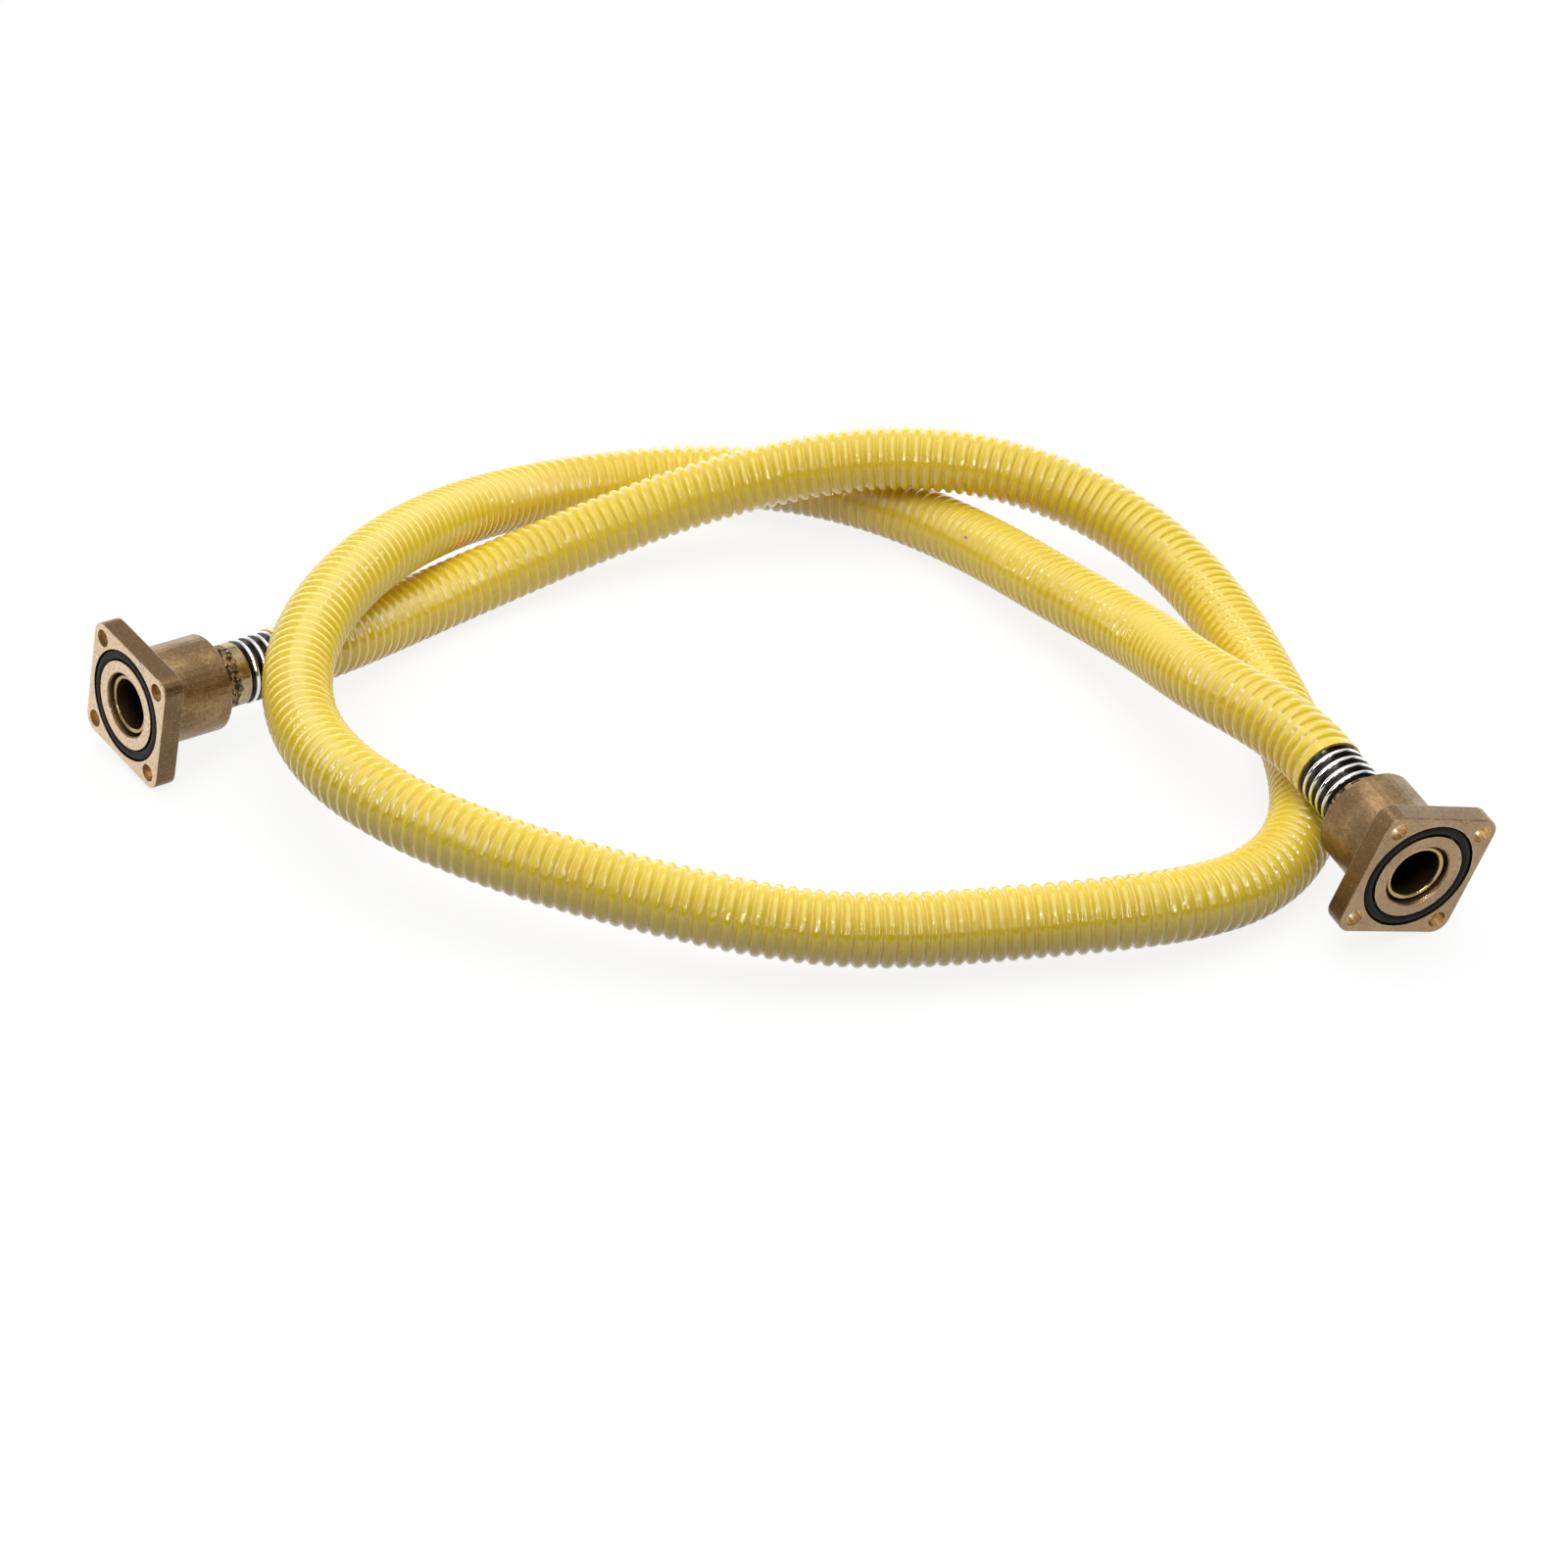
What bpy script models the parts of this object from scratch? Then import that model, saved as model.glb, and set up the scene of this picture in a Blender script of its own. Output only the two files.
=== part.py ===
"""Corrugated metal hose in a ridged plastic cover, with a square flange fitting at each end.

The hose lies on the floor in a loop and a half and passes over itself in long low humps.
Metres, +Z up, floor at z = 0. The origin lies on the floor, midway between the two fittings.
"""
import math

import bmesh
import bpy
import numpy as np
from mathutils import Euler, Matrix, Vector

# Square plate of a flange fitting. Its outer face is the sealing face.
PLATE_SIDE = 0.0504
PLATE_THICKNESS = 0.0087
HOLE_SPACING = 0.0382
HOLE_RADIUS = 0.0035
CORNER_RADIUS = (PLATE_SIDE - HOLE_SPACING) / 2
PLATE_EDGE = 0.0006

# Round hub behind the plate, and the socket in its rear end.
HUB_RADIUS = 0.0192
HUB_END = 0.0364
HUB_CHAMFER = 0.0007
HUB_FLARE = 0.0011
SOCKET_DEPTH = 0.0050

# Seal groove and bore.
GROOVE_INNER_RADIUS = 0.0177
GROOVE_WIDTH = 0.0046
GROOVE_OUTER_RADIUS = GROOVE_INNER_RADIUS + GROOVE_WIDTH
COUNTERBORE_RADIUS = 0.01275
COUNTERBORE_DEPTH = 0.0060
COUNTERBORE_CHAMFER = 0.0006
LIP_RADIUS = 0.0116
LIP_RECESS = 0.0019
LIP_CHAMFER = 0.0003
BORE_RADIUS = 0.0100

# Rubber ring, a little squashed, its crown just under the sealing face.
RING_HEIGHT = 0.0027
RING_RECESS = 0.0001

# Brazed ferrule between hub and hose, with its fillet of braze.
FERRULE_RADIUS = 0.0125
FERRULE_WALL = 0.0021
FERRULE_BORE = FERRULE_RADIUS - FERRULE_WALL
FERRULE_END = 0.0500
FERRULE_ROUNDING = 0.0009
BRAZE_RADIUS = 0.0137
BRAZE_LENGTH = 0.0060

# Corrugated steel hose, bare between ferrule and cover.
CREST_RADIUS = 0.0130
VALLEY_RADIUS = 0.0109
PITCH = 0.00496
BARE_END = 0.0665
POINTS_A_PITCH = 6

# Plastic cover over the steel hose.
COVER_RADIUS = 0.0135
COVER_STRAIGHT_END = 0.004
COVER_POINT_SPACING = 0.040

# Clearances between neighbouring pieces.
GAP = 0.0003

ROUND_STEPS = 48
HOSE_STEPS = 36
HOLE_STEPS = 20

# Where each sealing face lies, and how it is turned.
INLET_PLACE = (-0.2428, 0.0464, 0.0291)
INLET_TURN = (85.5, 11.2, -50.6)
OUTLET_PLACE = (0.2339, -0.0764, 0.0296)
OUTLET_TURN = (99.5, 17.2, 27.3)

# Centre line of the covered hose from the inlet to the outlet, without its two ends.
ROUTE = [
    (-0.1485, 0.1440, 0.0148),
    (-0.1025, 0.1875, 0.0156),
    (-0.0470, 0.2200, 0.0246),
    (0.0170, 0.2345, 0.0370),
    (0.0840, 0.2310, 0.0413),
    (0.1450, 0.2075, 0.0290),
    (0.1820, 0.1535, 0.0178),
    (0.1980, 0.0890, 0.0148),
    (0.2050, 0.0190, 0.0140),
    (0.1955, -0.0310, 0.0138),
    (0.1765, -0.0590, 0.0153),
    (0.1380, -0.0820, 0.0194),
    (0.0890, -0.0890, 0.0182),
    (0.0320, -0.0975, 0.0210),
    (-0.0325, -0.0900, 0.0286),
    (-0.0920, -0.0690, 0.0350),
    (-0.1400, -0.0375, 0.0403),
    (-0.1685, 0.0070, 0.0423),
    (-0.1745, 0.0670, 0.0461),
    (-0.1575, 0.1295, 0.0460),
    (-0.1345, 0.1865, 0.0354),
    (-0.0980, 0.2440, 0.0197),
    (-0.0350, 0.2710, 0.0148),
    (0.0270, 0.2590, 0.0150),
    (0.0805, 0.2200, 0.0141),
    (0.1155, 0.1620, 0.0212),
    (0.1490, 0.1025, 0.0283),
    (0.1735, 0.0340, 0.0433),
]


def material(name, color, roughness, metallic):
    mat = bpy.data.materials.new(name)
    mat.use_nodes = True
    shader = mat.node_tree.nodes["Principled BSDF"]
    shader.inputs["Base Color"].default_value = (*color, 1.0)
    shader.inputs["Roughness"].default_value = roughness
    shader.inputs["Metallic"].default_value = metallic
    return mat


def mesh_from(name, bm):
    mesh = bpy.data.meshes.new(name)
    bm.to_mesh(mesh)
    bm.free()
    mesh.shade_smooth()
    mesh.set_sharp_from_angle(angle=math.radians(35))
    return mesh


def turned(name, outline, steps):
    """A solid turned about Z from a closed outline of (radius, height) points."""
    bm = bmesh.new()
    verts = [bm.verts.new((radius, 0.0, height)) for radius, height in outline]
    edges = [bm.edges.new((verts[i - 1], verts[i])) for i in range(len(verts))]
    bmesh.ops.spin(
        bm,
        geom=verts + edges,
        axis=(0, 0, 1),
        cent=(0, 0, 0),
        angle=2 * math.pi,
        steps=steps,
        use_merge=True,
    )
    bmesh.ops.remove_doubles(bm, verts=bm.verts, dist=1e-6)
    on_axis = [e for e in bm.edges if all(v.co.xy.length < 1e-6 for v in e.verts)]
    bmesh.ops.delete(bm, geom=on_axis, context="EDGES")
    bmesh.ops.recalc_face_normals(bm, faces=bm.faces)
    return mesh_from(name, bm)


def plate_mesh():
    """The rounded square plate, from the sealing face at z = 0 down to its back."""
    bm = bmesh.new()
    middle = PLATE_SIDE / 2 - CORNER_RADIUS
    outline = []
    for quarter in range(4):
        turn = quarter * math.pi / 2
        corner = Matrix.Rotation(turn, 3, "Z") @ Vector((middle, middle, 0.0))
        for step in range(7):
            angle = turn + step * math.pi / 12
            arm = Vector((math.cos(angle), math.sin(angle), 0.0))
            outline.append(bm.verts.new(corner + arm * CORNER_RADIUS))
    face = bm.faces.new(outline)
    back = bmesh.ops.extrude_face_region(bm, geom=[face])["geom"]
    moved = [item for item in back if isinstance(item, bmesh.types.BMVert)]
    bmesh.ops.translate(bm, verts=moved, vec=(0.0, 0.0, -PLATE_THICKNESS))
    bmesh.ops.recalc_face_normals(bm, faces=bm.faces)
    return mesh_from("plate", bm)


def place(name, mesh, mat, parent=None):
    obj = bpy.data.objects.new(name, mesh)
    if mat and not mesh.materials:
        mesh.materials.append(mat)
    obj.parent = parent
    bpy.context.scene.collection.objects.link(obj)
    return obj


def helper(name, mesh):
    obj = place(name, mesh, None)
    obj.hide_render = True
    obj.display_type = "WIRE"
    return obj


def boolean(obj, operation, other):
    modifier = obj.modifiers.new(other.name, "BOOLEAN")
    modifier.operation = operation
    modifier.solver = "EXACT"
    modifier.object = other


def flange_mesh():
    """One casting: plate and hub joined, then the groove, bore, socket and holes cut."""
    body = helper("flange_blank", plate_mesh())
    rounding = body.modifiers.new("edges", "BEVEL")
    rounding.width = PLATE_EDGE
    rounding.segments = 2
    rounding.limit_method = "ANGLE"
    rounding.angle_limit = math.radians(40)

    flare = HUB_RADIUS + HUB_FLARE
    hub_outline = [
        (0.0, -PLATE_THICKNESS / 2),
        (flare + HUB_FLARE / 2, -PLATE_THICKNESS / 2),
        (flare + HUB_FLARE / 2, -PLATE_THICKNESS + 0.0008),
        (HUB_RADIUS + HUB_FLARE / 4, -PLATE_THICKNESS - HUB_FLARE),
        (HUB_RADIUS, -PLATE_THICKNESS - 2 * HUB_FLARE),
        (HUB_RADIUS, -HUB_END + HUB_CHAMFER),
        (HUB_RADIUS - HUB_CHAMFER, -HUB_END),
        (0.0, -HUB_END),
    ]
    boolean(body, "UNION", helper("hub", turned("hub", hub_outline, ROUND_STEPS)))

    groove_depth = RING_RECESS + RING_HEIGHT + GAP
    groove_outline = [
        (GROOVE_INNER_RADIUS, 0.001),
        (GROOVE_OUTER_RADIUS, 0.001),
        (GROOVE_OUTER_RADIUS, -groove_depth),
        (GROOVE_INNER_RADIUS, -groove_depth),
    ]
    groove = helper("groove", turned("groove", groove_outline, ROUND_STEPS))
    boolean(body, "DIFFERENCE", groove)

    above = 0.002
    socket_radius = FERRULE_RADIUS + GAP
    bore_outline = [
        (0.0, above),
        (COUNTERBORE_RADIUS + COUNTERBORE_CHAMFER + above, above),
        (COUNTERBORE_RADIUS, -COUNTERBORE_CHAMFER),
        (COUNTERBORE_RADIUS, -COUNTERBORE_DEPTH),
        (LIP_RADIUS, -COUNTERBORE_DEPTH),
        (LIP_RADIUS, -LIP_RECESS - LIP_CHAMFER),
        (LIP_RADIUS - LIP_CHAMFER, -LIP_RECESS),
        (BORE_RADIUS + LIP_CHAMFER, -LIP_RECESS),
        (BORE_RADIUS, -LIP_RECESS - LIP_CHAMFER),
        (BORE_RADIUS, -HUB_END + SOCKET_DEPTH),
        (socket_radius, -HUB_END + SOCKET_DEPTH),
        (socket_radius, -HUB_END - above),
        (0.0, -HUB_END - above),
    ]
    bore = helper("bore", turned("bore", bore_outline, ROUND_STEPS))
    boolean(body, "DIFFERENCE", bore)

    hole_outline = [
        (0.0, above),
        (HOLE_RADIUS, above),
        (HOLE_RADIUS, -PLATE_THICKNESS - above),
        (0.0, -PLATE_THICKNESS - above),
    ]
    hole = turned("hole", hole_outline, HOLE_STEPS)
    helpers = [body]
    for x in (-1, 1):
        for y in (-1, 1):
            cutter = helper(f"hole_{x}_{y}", hole)
            cutter.location = (x * HOLE_SPACING / 2, y * HOLE_SPACING / 2, 0.0)
            boolean(body, "DIFFERENCE", cutter)

    bpy.context.view_layer.update()
    graph = bpy.context.evaluated_depsgraph_get()
    mesh = bpy.data.meshes.new_from_object(body.evaluated_get(graph))
    mesh.name = "flange"
    mesh.shade_smooth()
    mesh.set_sharp_from_angle(angle=math.radians(35))
    used = [body] + [modifier.object for modifier in body.modifiers if modifier.type == "BOOLEAN"]
    for obj in used:
        bpy.data.objects.remove(obj)
    return mesh


def ring_mesh():
    """The oval section of the rubber ring, clear of the groove's walls."""
    middle = (GROOVE_INNER_RADIUS + GROOVE_OUTER_RADIUS) / 2
    half_width = (GROOVE_OUTER_RADIUS - GROOVE_INNER_RADIUS) / 2 - GAP
    outline = []
    for step in range(10):
        angle = step * 2 * math.pi / 10 + math.pi / 2
        radius = middle + half_width * math.cos(angle)
        height = -RING_RECESS - RING_HEIGHT / 2 + RING_HEIGHT / 2 * math.sin(angle)
        outline.append((radius, height))
    return turned("o_ring", outline, ROUND_STEPS)


def ferrule_mesh():
    inner_end = -HUB_END + SOCKET_DEPTH - GAP
    braze_start = -HUB_END - GAP
    outline = [
        (FERRULE_BORE, inner_end),
        (FERRULE_RADIUS, inner_end),
        (FERRULE_RADIUS, braze_start),
        (BRAZE_RADIUS, braze_start),
        (BRAZE_RADIUS - 0.0002, braze_start - BRAZE_LENGTH * 0.3),
        (FERRULE_RADIUS + 0.0003, braze_start - BRAZE_LENGTH * 0.7),
        (FERRULE_RADIUS, braze_start - BRAZE_LENGTH),
        (FERRULE_RADIUS, -FERRULE_END + FERRULE_ROUNDING),
        (FERRULE_RADIUS - FERRULE_ROUNDING * 0.3, -FERRULE_END + FERRULE_ROUNDING * 0.3),
        (FERRULE_RADIUS - FERRULE_ROUNDING, -FERRULE_END),
        (FERRULE_BORE, -FERRULE_END),
    ]
    return turned("ferrule", outline, HOSE_STEPS)


def hose_end_mesh():
    """The bare corrugated length between the ferrule and the cover, open right through."""
    start = -FERRULE_END - GAP
    end = -BARE_END
    count = round((start - end) / PITCH * POINTS_A_PITCH)
    outline = [(BORE_RADIUS, start)]
    for step in range(count + 1):
        height = start + (end - start) * step / count
        wave = math.cos(2 * math.pi * (start - height) / PITCH)
        rise = 0.5 - 0.5 * wave
        radius = VALLEY_RADIUS + (CREST_RADIUS - VALLEY_RADIUS) * rise**0.7
        outline.append((radius, height))
    outline.append((BORE_RADIUS, end))
    return turned("hose_end", outline, HOSE_STEPS)


def smooth_line(points, first_direction, last_direction, spacing):
    """Points at even spacing on a cubic spline through the given ones, clamped at its ends."""
    knots = np.array(points)
    chords = np.linalg.norm(np.diff(knots, axis=0), axis=1)
    count = len(knots)
    system = np.zeros((count, count))
    right = np.zeros((count, 3))
    system[0, 0] = 1.0
    system[-1, -1] = 1.0
    right[0] = first_direction
    right[-1] = last_direction
    for i in range(1, count - 1):
        before, after = chords[i - 1], chords[i]
        system[i, i - 1] = after
        system[i, i] = 2 * (before + after)
        system[i, i + 1] = before
        slope_before = (knots[i] - knots[i - 1]) / before
        slope_after = (knots[i + 1] - knots[i]) / after
        right[i] = 3 * (after * slope_before + before * slope_after)
    slopes = np.linalg.solve(system, right)
    fine = [knots[0]]
    for i, chord in enumerate(chords):
        for t in np.linspace(0, 1, 33)[1:]:
            fine.append(
                (2 * t**3 - 3 * t**2 + 1) * knots[i]
                + (t**3 - 2 * t**2 + t) * chord * slopes[i]
                + (3 * t**2 - 2 * t**3) * knots[i + 1]
                + (t**3 - t**2) * chord * slopes[i + 1]
            )
    fine = np.array(fine)
    along = np.concatenate([[0.0], np.cumsum(np.linalg.norm(np.diff(fine, axis=0), axis=1))])
    steps = round(along[-1] / spacing)
    wanted = np.linspace(0.0, along[-1], steps + 1)
    return np.stack([np.interp(wanted, along, fine[:, k]) for k in range(3)], axis=1)


def cover_object(name, mat, inlet, outlet):
    """The covered hose as one plain tube that follows its centre line."""
    end_face = Vector((0.0, 0.0, -BARE_END - GAP))
    bend_start = end_face - Vector((0.0, 0.0, COVER_STRAIGHT_END))
    leaving = inlet.to_3x3() @ Vector((0.0, 0.0, -1.0))
    arriving = outlet.to_3x3() @ Vector((0.0, 0.0, 1.0))
    through = [inlet @ bend_start, *ROUTE, outlet @ bend_start]
    bent = smooth_line(through, leaving, arriving, COVER_POINT_SPACING)
    line = [inlet @ end_face, *bent, outlet @ end_face]
    curve = bpy.data.curves.new(name, "CURVE")
    curve.dimensions = "3D"
    curve.bevel_depth = COVER_RADIUS
    curve.bevel_resolution = 4
    curve.use_fill_caps = True
    spline = curve.splines.new("POLY")
    spline.points.add(len(line) - 1)
    for point, co in zip(spline.points, line):
        point.co = (*co, 1.0)
    spline.use_smooth = True
    curve.materials.append(mat)
    obj = bpy.data.objects.new(name, curve)
    bpy.context.scene.collection.objects.link(obj)
    return obj


def fitting_frame(name, location, turn):
    empty = bpy.data.objects.new(name, None)
    empty.location = location
    empty.rotation_euler = [math.radians(angle) for angle in turn]
    empty.empty_display_size = 0.03
    bpy.context.scene.collection.objects.link(empty)
    rotation = Euler(empty.rotation_euler, "XYZ").to_matrix().to_4x4()
    return empty, Matrix.Translation(location) @ rotation


def build():
    for obj in list(bpy.data.objects):
        bpy.data.objects.remove(obj)

    bronze = material("bronze", (0.42, 0.27, 0.13), 0.42, 0.9)
    rubber = material("black_rubber", (0.015, 0.015, 0.016), 0.45, 0.0)
    brass = material("brass", (0.62, 0.46, 0.20), 0.28, 1.0)
    steel = material("steel", (0.62, 0.61, 0.60), 0.12, 1.0)
    plastic = material("yellow_plastic", (0.72, 0.50, 0.07), 0.18, 0.0)

    flange = flange_mesh()
    ring = ring_mesh()
    ferrule = ferrule_mesh()
    hose_end = hose_end_mesh()
    inlet, inlet_matrix = fitting_frame("inlet_fitting", INLET_PLACE, INLET_TURN)
    outlet, outlet_matrix = fitting_frame("outlet_fitting", OUTLET_PLACE, OUTLET_TURN)
    for side, parent in (("inlet", inlet), ("outlet", outlet)):
        place(f"{side}_flange", flange, bronze, parent)
        place(f"{side}_o_ring", ring, rubber, parent)
        place(f"{side}_ferrule", ferrule, brass, parent)
        place(f"{side}_hose_end", hose_end, steel, parent)
    cover_object("hose_cover", plastic, inlet_matrix, outlet_matrix)


build()
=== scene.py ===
"""The looks of a corrugated hose with a yellow ridged cover and two square flange fittings."""

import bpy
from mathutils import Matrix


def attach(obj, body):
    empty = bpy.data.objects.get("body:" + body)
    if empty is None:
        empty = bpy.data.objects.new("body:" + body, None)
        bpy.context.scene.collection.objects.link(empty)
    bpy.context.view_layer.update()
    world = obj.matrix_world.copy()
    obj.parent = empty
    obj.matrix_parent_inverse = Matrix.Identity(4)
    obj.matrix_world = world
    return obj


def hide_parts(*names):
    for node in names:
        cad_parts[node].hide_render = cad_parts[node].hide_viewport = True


bl_info = {
    "name": "Corrugated hose finish",
    "version": (1, 0, 0),
    "blender": (4, 5, 0),
    "location": "View3D > Sidebar > Hose",
    "description": "Ridged cover, bare steel ends, flange castings, seals and a studio for a corrugated hose",
    "category": "Object",
}

import math

import bmesh
import bpy
import numpy as np
from mathutils import Euler, Matrix, Vector, noise

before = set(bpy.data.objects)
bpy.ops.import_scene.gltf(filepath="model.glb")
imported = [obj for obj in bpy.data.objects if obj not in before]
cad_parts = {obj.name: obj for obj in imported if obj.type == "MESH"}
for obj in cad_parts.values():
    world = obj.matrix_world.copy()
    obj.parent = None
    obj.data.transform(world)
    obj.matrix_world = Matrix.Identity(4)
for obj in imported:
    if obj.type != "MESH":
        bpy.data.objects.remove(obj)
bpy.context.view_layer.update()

MM = 0.001

# Where each sealing face lies, and how it is turned, in metres and degrees.
FITTINGS = {
    "inlet": ((-0.2428, 0.0464, 0.0291), (85.5, 11.2, -50.6)),
    "outlet": ((0.2339, -0.0764, 0.0296), (99.5, 17.2, 27.3)),
}

# The points of the covered hose's centre line, from inlet to outlet.
ROUTE = [
    (-0.1485, 0.1440, 0.0148),
    (-0.1025, 0.1875, 0.0156),
    (-0.0470, 0.2200, 0.0246),
    (0.0170, 0.2345, 0.0370),
    (0.0840, 0.2310, 0.0413),
    (0.1450, 0.2075, 0.0290),
    (0.1820, 0.1535, 0.0178),
    (0.1980, 0.0890, 0.0148),
    (0.2050, 0.0190, 0.0140),
    (0.1955, -0.0310, 0.0138),
    (0.1765, -0.0590, 0.0153),
    (0.1380, -0.0820, 0.0194),
    (0.0890, -0.0890, 0.0182),
    (0.0320, -0.0975, 0.0210),
    (-0.0325, -0.0900, 0.0286),
    (-0.0920, -0.0690, 0.0350),
    (-0.1400, -0.0375, 0.0403),
    (-0.1685, 0.0070, 0.0423),
    (-0.1745, 0.0670, 0.0461),
    (-0.1575, 0.1295, 0.0460),
    (-0.1345, 0.1865, 0.0354),
    (-0.0980, 0.2440, 0.0197),
    (-0.0350, 0.2710, 0.0148),
    (0.0270, 0.2590, 0.0150),
    (0.0805, 0.2200, 0.0141),
    (0.1155, 0.1620, 0.0212),
    (0.1490, 0.1025, 0.0283),
    (0.1735, 0.0340, 0.0433),
]

# Distances behind the sealing face along a fitting's axis.
PLATE_BACK = 8.7 * MM
HUB_END = 36.4 * MM
FERRULE_END = 50.0 * MM
BARE_END = 66.5 * MM

# How far the outlet's bare steel and cover reach nearer the hub than the inlet's do.
STEEL_REACH = {"inlet": 0.0, "outlet": 6.8 * MM}
COVER_REACH = {"inlet": 0.0, "outlet": 4.5 * MM}

# How much paler each machined face is than the casting round it. Both faces are the same machined bronze; the
# inlet's higher share is painted light and the outlet's lower share painted shade.
FACE_PAINTED_LIGHT = {"inlet": 0.95, "outlet": 0.18}

# The clearance between neighbouring pieces.
GAP = 0.3 * MM

# The castings: radii about a fitting's axis, and how far down the lip reaches.
COUNTERBORE_RADIUS = 12.9 * MM
LIP_RADIUS = 11.75 * MM
LIP_DEPTH = 2.6 * MM
HUB_CORNER_RADIUS = 19.8 * MM

# The brass ferrule and its braze.
SOCKET_DEPTH = 5.0 * MM
FERRULE_RADIUS = 12.5 * MM
FERRULE_BORE = 10.4 * MM
FERRULE_ROUNDING = 0.9 * MM
FILLET_RISE = 0.9 * MM
FILLET_LENGTH = 1.1 * MM
BRAZE_RISE = 0.35 * MM
BRAZE_LENGTH = 6.2 * MM
BRAZE_EDGE = 0.25 * MM
LUMPS_START = 0.6 * MM
LUMPS_LENGTH = 6.6 * MM
LUMPS_EDGE = 0.5 * MM
LUMPS_END = 8.5 * MM
LUMPS = ((620, 0.24 * MM), (1500, 0.12 * MM))  # scale and height of each noise

# The bare steel hose and how far it runs into the cover.
STEEL_PITCH = 4.4 * MM
STEEL_WALL = 0.9 * MM
STEEL_IN_COVER = 1.4 * MM
STEEL_SAMPLES = 16  # points to a wave
STEEL_ROUNDNESS = 0.65  # under 1, the crests are broader than the valleys

# The rubber ring.
SEAL_RADIUS = 20.0 * MM
SEAL_HALF_WIDTH = 2.0 * MM
SEAL_HALF_HEIGHT = 1.35 * MM
SEAL_MIDDLE_DEPTH = 1.45 * MM
SEAL_SAMPLES = 28
SEAL_FLATNESS = 0.85  # under 1, the ring's section is squarer than an ellipse

# The plastic cover. One ridge: place along the pitch, and share of the valley's depth there.
RIDGE_PHASES = (0.0, 0.05, 0.11, 0.19, 0.31, 0.5, 0.69, 0.81, 0.89, 0.95)
RIDGE_DEPTHS = (1.0, 0.947, 0.765, 0.434, 0.079, 0.0, 0.079, 0.434, 0.765, 0.947)
COVER_STEPS = 26
COVER_WALL = 1.6 * MM
COVER_STRAIGHT_END = 4 * MM
COVER_LIP_DROP = 0.1 * MM
COVER_LIP_TUCK = 1.5 * MM
RINGS_PER_RIDGE = 3
SPAN_PARTS = 40

# Shades of the settings' colours, as factors on red, green and blue.
DEEPER_YELLOW = (0.93, 0.86, 0.7)
# Painted shade: the factor that darkens the cover's valleys towards brown.
VALLEY_PAINTED_SHADE = (0.80, 0.68, 0.5)
BRONZE_DARK = (0.42, 0.38, 0.36)
BRONZE_LIGHT = (2.35, 2.3, 2.2)
BRONZE_MACHINED = (2.75, 3.2, 4.7)
BRASS_DARK = (0.40, 0.34, 0.28)

# Colours of marks and small zones, in linear light.
# A painted highlight: the pale line on each flank next to the cover's valleys.
PAINTED_RIM_HIGHLIGHT = (1.0, 0.86, 0.32)
SPECK_BROWN = (0.20, 0.12, 0.04)
CORNER_DARKENING = (0.035, 0.022, 0.012)
PIT_BLACK = (0.03, 0.02, 0.012)
WORN_EDGE = (0.92, 0.76, 0.52)
HOLE_WALL_DARK = (0.44, 0.30, 0.15)
HOLE_WALL_LIGHT = (0.86, 0.68, 0.42)
BORE_SHADE = (0.028, 0.018, 0.010)
LIP_BRASS = (0.50, 0.36, 0.16)
BRAZE_DARK = (0.030, 0.020, 0.015)
BRAZE_BROWN = (0.34, 0.22, 0.09)
BARE_BRASS = (0.85, 0.68, 0.42)
STEEL_BRIGHT = (0.78, 0.77, 0.75)
# Painted shade and painted dark reflections for the steel's valleys.
STEEL_VALLEY_SHADE = (0.07, 0.062, 0.055)
STEEL_VALLEY_SHADE_DARK = (0.025, 0.02, 0.018)
RUBBER_BLACK = (0.003, 0.003, 0.0032)
RUBBER_DUST = (0.014, 0.013, 0.011)
# Painted light: the floor's bounce colour, dim in front and pale behind as if the sweep lit the floor behind.
FLOOR_NEAR_PAINTED_SHADE = (0.28, 0.27, 0.26)
FLOOR_FAR_PAINTED_LIGHT = (0.62, 0.61, 0.59)

WHITE = (1.0, 1.0, 1.0)

# The stage. Each light: where it hangs, what it faces, and its width and length.
CAMERA_TARGET = (0.0089, 0.0367, 0.0)
FLOOR_SIDE = 16.0
FLOOR_DROP = 0.2 * MM
FLOOR_GLOW = 0.85
CEILING = ((0.0, 0.4, 2.4), (0.0, 0.4, 0.0), (6.0, 5.0))
LONG_BOX = ((0.0, -0.35, 1.9), (0.0, -0.35, 0.0), (1.5, 2.6))
STRIP_FACING = ((0.0, 0.0, 0.05), (0.07, 1.4))
STRIP_PLACES = {
    "left_strip": (-1.0, -1.7, 1.2),
    "inner_left_strip": (-0.38, -1.7, 1.2),
    "inner_right_strip": (0.38, -1.7, 1.2),
    "right_strip": (1.0, -1.7, 1.2),
}


def fitting_matrix(side):
    place, turn = FITTINGS[side]
    rotation = Euler([math.radians(angle) for angle in turn], "XYZ").to_matrix().to_4x4()
    return Matrix.Translation(place) @ rotation


# Settings that a user may change.


class HoseSettings(bpy.types.PropertyGroup):
    cover_radius: bpy.props.FloatProperty(
        name="Cover radius",
        description="Radius over the cover's ridges",
        default=13.5 * MM,
        unit="LENGTH",
    )
    pitch: bpy.props.FloatProperty(
        name="Ridge pitch",
        description="Distance from one ridge to the next",
        default=4.96 * MM,
        unit="LENGTH",
    )
    valley_depth: bpy.props.FloatProperty(
        name="Valley depth",
        description="Depth of the cover's valleys",
        default=1.35 * MM,
        unit="LENGTH",
    )
    cover_color: bpy.props.FloatVectorProperty(
        name="Cover colour",
        description="Yellow of the plastic cover",
        default=(0.84, 0.62, 0.035),
        subtype="COLOR",
    )
    steel_crest: bpy.props.FloatProperty(
        name="Steel crest radius",
        description="Radius over the bare corrugations",
        default=13.0 * MM,
        unit="LENGTH",
    )
    steel_valley: bpy.props.FloatProperty(
        name="Steel valley radius",
        description="Radius in the bare corrugations' valleys",
        default=10.9 * MM,
        unit="LENGTH",
    )


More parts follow.
